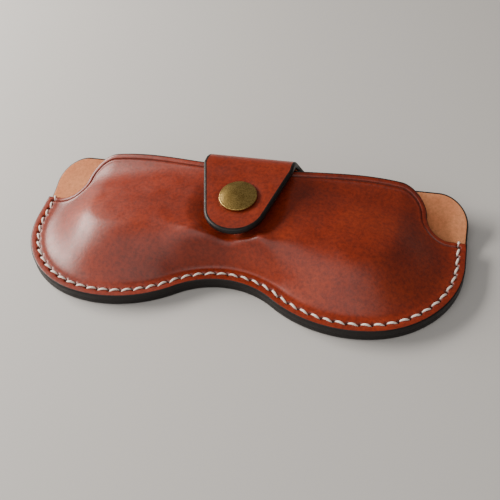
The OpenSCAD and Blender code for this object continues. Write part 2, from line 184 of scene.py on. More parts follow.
def fold_line(x, y, start, end, width, height):
    """A soft ridge or hollow along a line."""
    run = np.hypot(end[0] - start[0], end[1] - start[1])
    along = ((x - start[0]) * (end[0] - start[0]) + (y - start[1]) * (end[1] - start[1])) / run
    across = ((x - start[0]) * (end[1] - start[1]) - (y - start[1]) * (end[0] - start[0])) / run
    t = along / run
    spread = width * (0.7 + 0.6 * np.clip(t, 0, 1))
    ends = smooth(t * 3 + 0.8) * smooth((1.35 - t) * 2)
    return height * bell(across, spread) * ends


def soft_minimum(a, b, reach):
    """The lower of two heights, rounded where they are closer than reach."""
    close = np.maximum(reach - np.abs(a - b), 0)
    return np.minimum(a, b) - close**2 / (4 * reach)


def front_base(x, y):
    """Height of the front's grain side, before its pressed and sewn details."""
    power = LOBE_POWER + (MOUTH_POWER - LOBE_POWER) * smooth((y - LOBE_TOP_Y) / (EDGE_MIDDLE_Y - LOBE_TOP_Y))
    to_mouth = smooth((y - CROWN_BREAK_Y) / (EDGE_MIDDLE_Y - CROWN_BREAK_Y))
    crown = CROWN_RISE + (MOUTH_RISE - CROWN_RISE) * to_mouth
    wall_start, wall_end = WALL_CHANGE
    wall = ARCH_WALL + (WALL - ARCH_WALL) * smooth((np.abs(x) - wall_start) / (wall_end - wall_start))
    rise = np.sin(math.pi / 2 * np.clip((sewn_gap(x, y) - FLANGE) / wall, 0, 1)) ** WALL_POWER
    across = 1 - np.minimum(1, np.abs(x) / HALF) ** power
    moulded = bow(y) + 2 * LEATHER + crown * across * rise
    seat = SNAP_Z + (y - SNAP_Y) * math.tan(STRAP_TILT) - STANDOFF / math.cos(STRAP_TILT)
    r = np.hypot(x / DIMPLE_X, (y - SNAP_Y) / DIMPLE_Y)
    dimple = smooth((1 - r) / (1 - SEAT_RADIUS / DIMPLE_Y))
    height = moulded + (soft_minimum(moulded, seat, SEAT_BLEND) - moulded) * dimple
    for start, end, width, lift in FOLDS:
        height = height + fold_line(x, y, start, end, width, lift) * rise
    return height


STEP = 0.05


def surface_normal(height, x, y):
    """Unit normals of a height field, looking back along Y so that a mouth edge keeps its slope."""
    dx = (height(x + STEP, y) - height(x - STEP, y)) / (2 * STEP)
    dy = (height(x, y) - height(x, y - STEP)) / STEP
    n = np.stack([-dx, -dy, np.ones_like(dx)], axis=-1)
    return n / np.linalg.norm(n, axis=-1, keepdims=True)


# ---- Chains of points around the panels: each has a place, and its move per millimetre inwards ----
def chain(*parts):
    """Joins parts of an outline; each part repeats the last point of the one before."""
    place = np.concatenate([parts[0][0]] + [p[0][1:] for p in parts[1:]])
    inward = np.concatenate([parts[0][1]] + [p[1][1:] for p in parts[1:]])
    return place, inward


def arc_part(cx, cy, radius, start, stop, count, hollow, up):
    """Part of a circle, with angles from straight down or straight up; hollow if its centre is outside."""
    a = np.linspace(start, stop, count + 1)
    side = 1 if up else -1
    out = np.stack([np.sin(a), side * np.cos(a)], axis=-1)
    return np.array([cx, cy]) + radius * out, out if hollow else -out


def line_part(start, stop, inward, mitre, count):
    """Straight part; mitre is how far its first point slides along as the edge moves inwards."""
    t = np.linspace(0, 1, count + 1)[:, None]
    place = np.array(start) * (1 - t) + np.array(stop) * t
    along = np.array(stop, float) - np.array(start, float)
    along = along / np.linalg.norm(along)
    return place, np.array(inward) + mitre * (1 - t) * along


def sewn_chain(top_y, mitre, counts):
    return chain(
        line_part((HALF, top_y), (HALF, END_Y), (-1, 0), mitre, counts[0]),
        arc_part(END_X, END_Y, END_RADIUS, math.pi / 2, END_TURN, counts[1], False, False),
        arc_part(LOBE_X, LOBE_RADIUS, LOBE_RADIUS, END_TURN, -ARCH_TURN, counts[2], False, False),
        arc_part(0, ARCH_Y, ARCH_RADIUS, ARCH_TURN, 0, counts[3], True, True),
    )


def mouth_chain(counts):
    x = np.linspace(SHOULDER_X, 0, counts[3] + 1)
    turn = math.pi * x / SHOULDER_X
    y = EDGE_MIDDLE_Y + (EDGE_Y - EDGE_MIDDLE_Y) * (1 - np.cos(turn)) / 2
    slope = (EDGE_Y - EDGE_MIDDLE_Y) * np.sin(turn) * math.pi / SHOULDER_X / 2
    down = np.stack([slope, -np.ones_like(slope)], axis=-1)
    down = down / np.linalg.norm(down, axis=-1, keepdims=True)
    notch = arc_part(NOTCH_X, NOTCH_Y + NOTCH_RADIUS, NOTCH_RADIUS, 0, -NOTCH_SLOPE, counts[1], True, False)
    shoulder = arc_part(
        SHOULDER_X, EDGE_Y - SHOULDER_RADIUS, SHOULDER_RADIUS, NOTCH_SLOPE, 0, counts[2], False, True
    )
    return chain(
        line_part((HALF, NOTCH_Y), (NOTCH_X, NOTCH_Y), (0, -1), 1, counts[0]),
        notch,
        shoulder,
        (np.stack([x, y], axis=-1), down),
    )


def back_chain(counts):
    corner = arc_part(
        HALF - MOUTH_CORNER, CASE_HEIGHT - MOUTH_CORNER, MOUTH_CORNER, math.pi / 2, 0, counts[0], False, True
    )
    x = np.linspace(HALF - MOUTH_CORNER, 0, counts[1] + 1)
    y = CASE_HEIGHT - (CASE_HEIGHT - ROOT_Y) * root_share(x)
    down = np.tile([0.0, -1.0], (len(x), 1))
    return chain(corner, (np.stack([x, y], axis=-1), down))


def whole(half_chain):
    """Mirrors a chain that runs from the right end to the middle."""
    place, inward = half_chain
    flip = np.array([-1, 1])
    return np.concatenate([place, (place * flip)[-2::-1]]), np.concatenate([inward, (inward * flip)[-2::-1]])


# ---- Meshes ----
GRAIN, EDGE, FLESH = 0, 1, 2


class Skin:
    """Quads gathered from grids in flat coordinates: across, along and height above the upper side."""

    def __init__(self):
        self.points, self.quads, self.finish, self.count = [], [], [], 0

    def grid(self, points, finish, closed=False, turned=False):
        """Adds a grid of rows; finish is one material index, or one for each strip between rows."""
        rows, columns = points.shape[:2]
        index = np.arange(rows * columns).reshape(rows, columns) + self.count
        if closed:
            index = np.concatenate([index, index[:, :1]], axis=1)
        a, b, c, d = index[:-1, :-1], index[:-1, 1:], index[1:, 1:], index[1:, :-1]
        quads = np.stack([a, d, c, b] if turned else [a, b, c, d], axis=-1)
        strips = np.broadcast_to(np.atleast_1d(finish), (rows - 1,))
        self.points.append(points.reshape(-1, 3))
        self.quads.append(quads.reshape(-1, 4))
        self.finish.append(np.repeat(strips, quads.shape[1]))
        self.count += rows * columns

    def joined(self):
        """One mesh: points that coincide become one, and quads that lost a side become triangles."""
        points = np.concatenate(self.points)
        quads = np.concatenate(self.quads)
        finish = np.concatenate(self.finish)
        key = np.round(points * 1e4).astype(np.int64)
        _, first, merged = np.unique(key, axis=0, return_index=True, return_inverse=True)
        points = points[first]
        quads = merged.reshape(-1)[quads]
        faces, kinds = [], []
        for quad, kind in zip(quads.tolist(), finish.tolist()):
            face = [v for k, v in enumerate(quad) if v != quad[k - 1]]
            if len(face) > 2 and len(set(face)) == len(face):
                faces.append(face)
                kinds.append(kind)
        return points, faces, kinds


def volume(points, faces):
    """Signed volume inside a mesh, which is negative if it is inside out."""
    total = 0.0
    for face in faces:
        a = points[face[0]]
        for k in range(1, len(face) - 1):
            total += np.dot(a, np.cross(points[face[k]], points[face[k + 1]]))
    return total / 6


def outward(points, faces):
    return faces if volume(points, faces) > 0 else [face[::-1] for face in faces]


def make_object(name, points, faces, kinds, materials, normals=None, flat_faces=0):
    """A piece from points in millimetres. normals are those of its points; the last flat_faces stay flat."""
    mesh = bpy.data.meshes.new(name)
    placed = (np.asarray(points) + np.array([0, Y_SHIFT, 0])) * MM
    mesh.from_pydata(placed.tolist(), [], faces)
    for material in materials:
        mesh.materials.append(material)
    mesh.polygons.foreach_set("material_index", np.array(kinds, np.int32))
    smooth_faces = np.ones(len(faces), bool)
    if flat_faces:
        smooth_faces[-flat_faces:] = False
    mesh.polygons.foreach_set("use_smooth", smooth_faces)
    mesh.update()
    if normals is not None:
        corner = []
        for k, polygon in enumerate(mesh.polygons):
            for v in polygon.vertices:
                corner.append(normals[v] if smooth_faces[k] else tuple(polygon.normal))
        mesh.normals_split_custom_set([tuple(n) for n in corner])
    piece = bpy.data.objects.new(name, mesh)
    bpy.context.scene.collection.objects.link(piece)
    return piece


def attribute(piece, name, values):
    """Stores one number for each point, which its material reads."""
    layer = piece.data.attributes.new(name, "FLOAT", "POINT")
    layer.data.foreach_set("value", np.asarray(values, np.float32))


# ---- Edges of the leather: a quarter round, a wall and a quarter round ----
QUARTER = np.radians(np.linspace(0, 90, 6))


def drop(gap, radius):
    """How far a rounded edge falls below the face, at a distance from the edge."""
    inside = np.clip(radius - gap, 0, radius)
    return radius - np.sqrt(np.maximum(radius**2 - inside**2, 0))


# ---- The stitch line ----
ARCH_RUN = (ARCH_RADIUS + STITCH_INSET) * ARCH_TURN
LOBE_RUN = (LOBE_RADIUS - STITCH_INSET) * (ARCH_TURN + END_TURN)
END_RUN = (END_RADIUS - STITCH_INSET) * (math.pi / 2 - END_TURN)
SEAM_RUN = ARCH_RUN + LOBE_RUN + END_RUN + NOTCH_Y - END_Y + WRAP
PITCH = SEAM_RUN / STITCHES


def seam_half(s):
    """Place and heading along the stitch line, from the middle to the right."""
    if s < ARCH_RUN:
        a = s / (ARCH_RADIUS + STITCH_INSET)
        r = ARCH_RADIUS + STITCH_INSET
        return r * math.sin(a), ARCH_Y + r * math.cos(a), -a
    if s < ARCH_RUN + LOBE_RUN:
        r = LOBE_RADIUS - STITCH_INSET
        a = (s - ARCH_RUN) / r - ARCH_TURN
        return LOBE_X + r * math.sin(a), LOBE_RADIUS - r * math.cos(a), a
    if s < ARCH_RUN + LOBE_RUN + END_RUN:
        r = END_RADIUS - STITCH_INSET
        a = (s - ARCH_RUN - LOBE_RUN) / r + END_TURN
        return END_X + r * math.sin(a), END_Y - r * math.cos(a), a
    return HALF - STITCH_INSET, END_Y + s - ARCH_RUN - LOBE_RUN - END_RUN, math.pi / 2


def seam(s):
    """Place and heading of the stitch line, from the left end (negative) to the right end."""
    x, y, heading = seam_half(abs(s))
    return (-x, y, -heading) if s < 0 else (x, y, heading)


# Half of the sideways step of one stitch, and its sense on either side of the middle
SLANT = 0.42


def slant(s):
    return SLANT * math.tanh(-s / 3)


def hole_share(x, y):
    """How deep in an awl slit each point lies, from 0 to 1."""
    share = np.zeros_like(x)
    for hole in range(-STITCHES, STITCHES + 1):
        hx, hy, heading = seam(hole * PITCH)
        lean = heading - math.copysign(math.radians(48), -hole if hole else 1)
        dx, dy = x - hx, y - hy
        along = dx * math.cos(lean) + dy * math.sin(lean)
        across = dy * math.cos(lean) - dx * math.sin(lean)
        share = np.maximum(share, np.exp(-((along / 0.85) ** 4) - (across / 0.36) ** 2))
    return share


# ---- Materials ----
def new_material(name):
    material = bpy.data.materials.new(name)
    material.use_nodes = True
    nodes = material.node_tree.nodes
    return material, nodes, material.node_tree.links, nodes["Principled BSDF"]


def linear(red, green, blue):
    """A colour given on the 0 to 255 display scale."""
    scale = [c / 255 for c in (red, green, blue)]
    return tuple(c / 12.92 if c <= 0.04045 else ((c + 0.055) / 1.055) ** 2.4 for c in scale) + (1,)


def node(nodes, kind, **inputs):
    made = nodes.new(kind)
    for key, value in inputs.items():
        made.inputs[key.replace("_", " ")].default_value = value
    return made


def noise(nodes, links, coordinates, scale, detail=3.0, roughness=0.55):
    made = node(nodes, "ShaderNodeTexNoise", Scale=scale, Detail=detail, Roughness=roughness)
    links.new(coordinates, made.inputs["Vector"])
    return made.outputs["Fac"]


def ramp(nodes, links, value, stops):
    """Colours at places along a value."""
    made = nodes.new("ShaderNodeValToRGB")
    elements = made.color_ramp.elements
    while len(elements) < len(stops):
        elements.new(0.5)
    for element, (place, colour) in zip(elements, stops):
        element.position = place
        element.color = colour
    links.new(value, made.inputs["Fac"])
    return made.outputs["Color"]


def remap(nodes, links, value, low, high, to_low, to_high):
    made = nodes.new("ShaderNodeMapRange")
    for key, number in zip(("From Min", "From Max", "To Min", "To Max"), (low, high, to_low, to_high)):
        made.inputs[key].default_value = number
    links.new(value, made.inputs["Value"])
    return made.outputs["Result"]


def mix_colour(nodes, links, share, first, second, mode="MIX"):
    made = nodes.new("ShaderNodeMix")
    made.data_type = "RGBA"
    made.blend_type = mode
    for key, value in ((0, share), (6, first), (7, second)):
        if hasattr(value, "is_output"):
            links.new(value, made.inputs[key])
        else:
            made.inputs[key].default_value = value
    return made.outputs[2]


def bump(nodes, links, shader, heights):
    """Chains bumps; each is a height, its strength and its depth in metres."""
    normal = None
    for height, strength, distance in heights:
        made = node(nodes, "ShaderNodeBump", Strength=strength, Distance=distance)
        links.new(height, made.inputs["Height"])
        if normal is not None:
            links.new(normal, made.inputs["Normal"])
        normal = made.outputs["Normal"]
    links.new(normal, shader.inputs["Normal"])


def object_coordinates(nodes):
    return nodes.new("ShaderNodeTexCoord").outputs["Object"]


def read_attribute(nodes, name):
    made = nodes.new("ShaderNodeAttribute")
    made.attribute_name = name
    return made.outputs["Fac"]


def grain_leather(name):
    """Chestnut vegetable-tanned leather with a waxed finish."""
    material, nodes, links, shader = new_material(name)
    where = object_coordinates(nodes)
    clouds = noise(nodes, links, where, 45, 4, 0.6)
    mottle = noise(nodes, links, where, 800, 4, 0.7)
    base = ramp(nodes, links, clouds, [
        (0.30, linear(126, 37, 11)),
        (0.52, linear(144, 44, 13)),
        (0.72, linear(160, 54, 18)),
    ])
    specks = ramp(nodes, links, mottle, [(0.36, linear(150, 140, 132)), (0.60, linear(255, 255, 255))])
    base = mix_colour(nodes, links, 0.55, base, specks, "MULTIPLY")
    # Painted shade: the attribute read here darkens the pressed crease, the stitch holes and channel, and a
    # ring at the snap cap's rim
    painted_shade = read_attribute(nodes, "painted_shade")
    base = mix_colour(nodes, links, painted_shade, base, linear(38, 10, 5))
    links.new(base, shader.inputs["Base Color"])
    pores = node(nodes, "ShaderNodeTexVoronoi", Scale=1500)
    links.new(where, pores.inputs["Vector"])
    fine = noise(nodes, links, where, 2600, 3, 0.6)
    wear = noise(nodes, links, where, 160, 4, 0.6)
    links.new(remap(nodes, links, wear, 0.3, 0.75, 0.36, 0.50), shader.inputs["Roughness"])
    shader.inputs["Specular IOR Level"].default_value = 0.5
    shader.inputs["Coat Weight"].default_value = 0.12
    shader.inputs["Coat Roughness"].default_value = 0.28
    bump(nodes, links, shader, [
        (mottle, 0.35, 0.00012),
        (pores.outputs["Distance"], 0.25, 0.00006),
        (fine, 0.30, 0.00004),
    ])
    return material


def flesh_leather(name):
    """The undyed inner side: short brushed fibres."""
    material, nodes, links, shader = new_material(name)
    where = object_coordinates(nodes)
    clouds = noise(nodes, links, where, 70, 4, 0.6)
    fibres = noise(nodes, links, where, 900, 5, 0.7)
    base = ramp(nodes, links, clouds, [(0.3, linear(222, 138, 92)), (0.7, linear(242, 164, 114))])
    nap = ramp(nodes, links, fibres, [(0.3, linear(190, 182, 175)), (0.65, linear(255, 255, 255))])
    base = mix_colour(nodes, links, 0.6, base, nap, "MULTIPLY")
    links.new(base, shader.inputs["Base Color"])
    shader.inputs["Roughness"].default_value = 0.86
    shader.inputs["Specular IOR Level"].default_value = 0.25
    shader.inputs["Sheen Weight"].default_value = 0.1
    shader.inputs["Sheen Roughness"].default_value = 0.5
    bump(nodes, links, shader, [(fibres, 0.5, 0.00015), (noise(nodes, links, where, 3000, 3), 0.4, 0.00006)])
    return material


def edge_paint(name):
    """Black burnished edge."""
    material, nodes, links, shader = new_material(name)
    where = object_coordinates(nodes)
    uneven = noise(nodes, links, where, 500, 4, 0.6)
    base = ramp(nodes, links, uneven, [(0.35, linear(14, 10, 9)), (0.7, linear(28, 20, 18))])
    links.new(base, shader.inputs["Base Color"])
    links.new(remap(nodes, links, uneven, 0.3, 0.7, 0.38, 0.55), shader.inputs["Roughness"])
    shader.inputs["Specular IOR Level"].default_value = 0.35
    fine = noise(nodes, links, where, 1800, 3)
    bump(nodes, links, shader, [(uneven, 0.35, 0.00015), (fine, 0.25, 0.00005)])
    return material


def thread_material(name):
    """Waxed ivory thread, with painted shade where it enters the leather."""
    material, nodes, links, shader = new_material(name)
    where = object_coordinates(nodes)
    fibres = noise(nodes, links, where, 2200, 4, 0.65)
    base = ramp(nodes, links, fibres, [(0.3, linear(240, 222, 205)), (0.65, linear(255, 247, 238))])
    # Painted shade: darker where the strand goes into the holes
    sunk = read_attribute(nodes, "painted_shade")
    base = mix_colour(nodes, links, sunk, base, linear(120, 70, 50))
    links.new(base, shader.inputs["Base Color"])
    shader.inputs["Roughness"].default_value = 0.55
    shader.inputs["Sheen Weight"].default_value = 0.15
    bump(nodes, links, shader, [(fibres, 0.4, 0.00006)])
    return material


def metal(name, bright, dark, speckle, low, high, bump_strength):
    """Plated metal, speckled with tarnish."""
    material, nodes, links, shader = new_material(name)
    where = object_coordinates(nodes)
    clouds = noise(nodes, links, where, 260, 4, 0.6)
    specks = noise(nodes, links, where, speckle, 4, 0.75)
    base = ramp(nodes, links, clouds, [(0.32, linear(*dark)), (0.62, linear(*bright))])
    tarnish = ramp(nodes, links, specks, [(0.36, linear(95, 82, 66)), (0.56, linear(255, 255, 255))])
    base = mix_colour(nodes, links, 0.8, base, tarnish, "MULTIPLY")
    links.new(base, shader.inputs["Base Color"])
    shader.inputs["Metallic"].default_value = 1.0
    links.new(remap(nodes, links, specks, 0.3, 0.7, high, low), shader.inputs["Roughness"])
    bump(nodes, links, shader, [(specks, bump_strength, 0.00004)])
    return material


GRAIN_LEATHER = grain_leather("chestnut_grain_leather")
FLESH_LEATHER = flesh_leather("tan_flesh_leather")
EDGE_PAINT = edge_paint("black_edge_paint")
THREAD = thread_material("ivory_waxed_thread")
ANTIQUE_BRASS = metal("antique_brass", (216, 182, 108), (180, 148, 84), 2600, 0.28, 0.44, 0.12)
BRASS = metal("brass", (206, 176, 112), (172, 140, 80), 900, 0.22, 0.36, 0.15)
SPRING_STEEL = metal("spring_steel", (190, 190, 192), (150, 150, 155), 900, 0.2, 0.35, 0.1)
LEATHERS = [GRAIN_LEATHER, EDGE_PAINT, FLESH_LEATHER]


# ---- Panels ----
def panel(sewn, mouth, ring_gaps, edge_round, interior, finish):
    """Flat coordinates of a panel: rings around its border, and grids inside them on both sides.

    ring_gaps are distances from the edge; edge_round gives the rounding at each point of the border for
    the upper and lower corners, and the distance from the true edge; finish is (upper, lower) materials.
    """
    sewn_place, sewn_in = sewn
    mouth_place, mouth_in = mouth
    place = np.concatenate([sewn_place, mouth_place[-2:0:-1]])
    inward = np.concatenate([sewn_in, mouth_in[-2:0:-1]])
    last = len(sewn_place) - 1
    upper, lower, gap_of = edge_round(place)
    rows, heights, finishes = [], [], []

    def ring(gap, height, kind):
        rows.append(place + np.asarray(gap).reshape(-1, 1) * inward)
        heights.append(np.broadcast_to(height, (len(place),)))
        finishes.append(kind)

    for gap in ring_gaps[0]:
        ring(gap, 0.0, finish[0])
    for a in QUARTER:
        gap = upper * (1 - math.sin(a))
        ring(gap, -drop(gap_of(gap), upper), finish[0] if a < 0.2 else EDGE)
    for a in QUARTER:
        gap = lower * (1 - math.cos(a))
        ring(gap, -LEATHER + drop(gap_of(gap), lower), EDGE if a < 1.3 else finish[1])
    for gap in ring_gaps[1]:
        ring(gap, -LEATHER, finish[1])

    skin = Skin()
    flat = np.concatenate([np.array(rows), np.array(heights)[..., None]], axis=-1)
    skin.grid(flat, finishes[:-1], closed=True)
    for border, count, turned in ((flat[0], interior[0], False), (flat[-1], interior[1], True)):
        low = border[: last + 1]
        high = np.concatenate([border[:1], border[:last - 1:-1]])
        t = np.linspace(0, 1, count + 1)[:, None, None]
        skin.grid(low * (1 - t) + high * t, finish[1] if turned else finish[0], turned=not turned)
    points, faces, kinds = skin.joined()
    return points, outward(points, faces), kinds


def distance_to(points, line):
    """Distance from each point to the nearest point of a dense line."""
    best = np.full(len(points), 1e9)
    for k in range(0, len(points), 4000):
        block = points[k:k + 4000, None, :] - line[None, :, :]
        best[k:k + 4000] = np.sqrt((block**2).sum(-1).min(-1))
    return best


# Steps along each part of the chains; both lists add up to 250, because the interior pairs them up
SEWN_COUNTS = (20, 92, 88, 50)
MOUTH_COUNTS = (24, 70, 60, 96)
# Distance of the pressed crease from the mouth edge
CREASE_GAP = 2.35
CREASE_DEPTH, LIP_HEIGHT, BEAD_HEIGHT = 0.42, 0.12, 0.14
CHANNEL_WIDTH = 0.75
FRONT_CHANNEL_DEPTH, FRONT_HOLE_DEPTH = 0.16, 0.85
BACK_CHANNEL_DEPTH, BACK_HOLE_DEPTH = 0.45, 0.5
# Distances of the front's rings from its edge, closer together around the crease and the stitches
TOP_GAPS = [
    6.0, 5.4, 4.9, 4.5, 4.15, 3.85, 3.6, 3.4, 3.2, 3.0, 2.85,
    2.7, 2.58, 2.46, 2.35, 2.24, 2.12, 2.0, 1.8, 1.5, 1.2,
]


def front_panel():
    """The moulded front: rolled mouth edge with a pressed crease, and a channel for the stitches."""
    sewn = whole(sewn_chain(NOTCH_Y, 1, SEWN_COUNTS))
    mouth = whole(mouth_chain(MOUTH_COUNTS))
    dense = whole(mouth_chain(tuple(3 * c for c in MOUTH_COUNTS)))[0]

    def edge_round(place):
        at_mouth = smooth((3.0 - distance_to(place, dense)) / 3.0)
        upper = 0.6 + 0.35 * at_mouth
        lower = 0.12 + 0.7 * at_mouth
        return upper, lower, lambda gap: gap

    points, faces, kinds = panel(
        sewn, mouth, (TOP_GAPS, [1.5, 3.0, 6.0]), edge_round, (84, 14), (GRAIN, FLESH)
    )
    x, y, h = points.T
    mouth_gap = distance_to(points[:, :2], dense)
    seam_gap = sewn_gap(x, y)
    on_top = h > -0.3
    crease = bell(mouth_gap - CREASE_GAP, 0.22) * smooth((seam_gap - 1.6) / 1.2)
    lip = bell(mouth_gap - CREASE_GAP - 0.75, 0.45) * smooth((seam_gap - 1.6) / 1.2)
    bead = np.clip(1 - ((mouth_gap - 1.25) / 1.0) ** 2, 0, 1)
    holes = hole_share(x, y) * smooth((2.5 - np.abs(seam_gap - STITCH_INSET)) * 2)
    channel = bell(seam_gap - STITCH_INSET, CHANNEL_WIDTH) * smooth((mouth_gap - 0.8) / 1.0)
    raised = LIP_HEIGHT * lip + BEAD_HEIGHT * bead
    sunk = CREASE_DEPTH * crease + FRONT_CHANNEL_DEPTH * channel + FRONT_HOLE_DEPTH * holes
    detail = raised - sunk
    height = h + np.where(on_top, detail, 0)
    normal = surface_normal(front_base, x, y)
    solid = np.stack([x, y, front_base(x, y)], axis=-1) + height[:, None] * normal
    piece = make_object("front_skin", solid, faces, kinds, LEATHERS)
    # Painted shade in the pressed crease, the awl holes and the stitch channel, stored for the material to
    # darken
    painted_shade = np.clip(0.55 * crease + 0.95 * holes + 0.12 * channel, 0, 1)
    attribute(piece, "painted_shade", np.where(on_top, painted_shade, 0))
    return piece


def back_panel():
    """The back: flesh side up inside the pocket, grain side down, with the strap's root curving up."""
    sewn = whole(sewn_chain(CASE_HEIGHT - MOUTH_CORNER, 0, (30, 80, 76, 44)))
    mouth = whole(back_chain((50, 180)))
    round_radius = 0.95

    def edge_round(place):
        x = np.abs(place[:, 0])
        in_root = (x < ROOT_HALF) & (place[:, 1] > ROOT_Y - 1)
        beside = smooth((place[:, 1] - NOTCH_Y + 2) / 3)
        upper = np.where(in_root, round_radius, 0.12 + (round_radius - 0.12) * beside)

        def gap_of(gap):
            around = np.sqrt(np.maximum(ROOT_HALF - x, 0) ** 2 + (ROOT_FILLET + gap) ** 2) - ROOT_FILLET
            return np.where(in_root, around, gap)

        return upper, np.full(len(x), round_radius), gap_of

    gaps = [6.0, 4.5, 3.6, 3.0, 2.4, 1.8, 1.3]
    points, faces, kinds = panel(sewn, mouth, (gaps, gaps[::-1]), edge_round, (60, 60), (FLESH, GRAIN))
    x, y, h = points.T
    seam_gap = sewn_gap(x, y)
    below = h < -LEATHER + 0.3
    holes = hole_share(x, y) * smooth((2.5 - np.abs(seam_gap - STITCH_INSET)) * 2)
    channel = bell(seam_gap - STITCH_INSET, CHANNEL_WIDTH)
    sunk = BACK_CHANNEL_DEPTH * channel + BACK_HOLE_DEPTH * holes
    height = h + LEATHER + np.where(below, sunk, 0)
    normal = surface_normal(back_under, x, np.minimum(y, ROOT_Y))
    solid = np.stack([x, y, back_under(x, y)], axis=-1) + height[:, None] * normal
    piece = make_object("back_skin", solid, faces, kinds, LEATHERS)
    # Painted shade in the awl holes and the stitch channel on the grain side
    attribute(piece, "painted_shade", np.where(below, np.clip(0.9 * holes + 0.12 * channel, 0, 1), 0))
    return piece


# ---- The strap ----
TIP_RUN = FOLD_RUN + STRAP_LENGTH - TIP_RADIUS
TAPER = math.acos(TIP_RADIUS / math.hypot(STRAP_LENGTH - TIP_RADIUS, STRAP_WIDTH / 2)) - math.atan2(
    STRAP_LENGTH - TIP_RADIUS, STRAP_WIDTH / 2
)
# Rounding of the strap's edges, and how far in from them its rings reach
STRAP_EDGE = 0.95
RING_REACH = 3.5
# Angles of the fold, in degrees, at which the strap is cut into its three pieces
LOWER_CUT, UPPER_CUT = 14, 62
# Pressed ring around the cap
DENT_RADIUS, DENT_DEPTH = 6.6, 0.22


def strap_rows():
    """Rows along the strap: run from the root, half width, and the angle of the edge's outward normal."""
    rows = []
    for s in np.linspace(0, ROOT_FILLET, 25)[:-1]:
        rows.append((s, None, 0.0))
    for s in np.linspace(ROOT_FILLET, FOLD_RUN, 37)[:-1]:
        rows.append((s, STRAP_WIDTH / 2, 0.0))
    end = TIP_RUN + TIP_RADIUS * math.sin(TAPER)
    for s in np.linspace(FOLD_RUN, end, 57)[:-1]:
        half_width = STRAP_WIDTH / 2 - (s - FOLD_RUN) * math.tan(TAPER)
        rows.append((s, half_width, TAPER * float(smooth((s - FOLD_RUN) / 3))))
    for a in np.linspace(TAPER, math.pi / 2, 57):
        rows.append((TIP_RUN + TIP_RADIUS * math.sin(a), TIP_RADIUS * math.cos(a), a))
    return rows


def ring_place(row, gap):
    """Where the ring at a distance from the edge crosses a row: across, along."""
    s, half_width, a = row
    if half_width is None:
        return ROOT_HALF - math.sqrt((ROOT_FILLET + gap) ** 2 - (ROOT_FILLET - s) ** 2), s
    return half_width - gap * math.cos(a), s - gap * math.sin(a)


def strap_flat():
    """Flat coordinates of the whole strap, one closed row of points around it at each place along it."""
    q = [(RING_REACH, share, 0.0, FLESH) for share in np.linspace(0, 1, 13)[:-1]]
    q += [(gap, 1.0, 0.0, FLESH) for gap in (3.5, 2.8, 2.1, 1.6, 1.2)]
    for a in QUARTER:
        gap = STRAP_EDGE * (1 - math.sin(a))
        q.append((gap, 1.0, -drop(gap, STRAP_EDGE), FLESH if a < 0.2 else EDGE))
    for a in QUARTER:
        gap = STRAP_EDGE * (1 - math.cos(a))
        q.append((gap, 1.0, -LEATHER + drop(gap, STRAP_EDGE), EDGE))
    q += [(gap, 1.0, -LEATHER, GRAIN) for gap in (1.2, 1.6, 2.1, 2.8, 3.5)]
    q += [(RING_REACH, share, -LEATHER, GRAIN) for share in np.linspace(1, 0, 19)[1:]]
    right = []
    for row in strap_rows():
        line = []
        for gap, share, height, _ in q:
            across, along = ring_place(row, gap)
            line.append((across * share, along, height))
        right.append(line)
    right = np.array(right)
    left = right[:, -2:0:-1] * np.array([-1, 1, 1])
    finish = [kind for *_, kind in q]
    columns = finish[:-1] + [finish[k - 1] for k in range(len(finish) - 1, 0, -1)]
    return np.concatenate([right, left], axis=1), columns


def strap_solid(flat):
    """Bends flat coordinates round the fold, and on along the strap's straight part."""
    x, s, g = flat[..., 0], flat[..., 1], flat[..., 2] + LEATHER
    turn = np.minimum(s, FOLD_RUN) / FOLD_RADIUS + ROOT_ANGLE
    past = np.maximum(s - FOLD_RUN, 0)
    radius = FOLD_RADIUS - g
    y = FOLD_CY + radius * np.cos(turn) - past * math.cos(STRAP_TILT)
    z = FOLD_CZ + radius * np.sin(turn) - past * math.sin(STRAP_TILT)
    return np.stack([x, y, z], axis=-1)


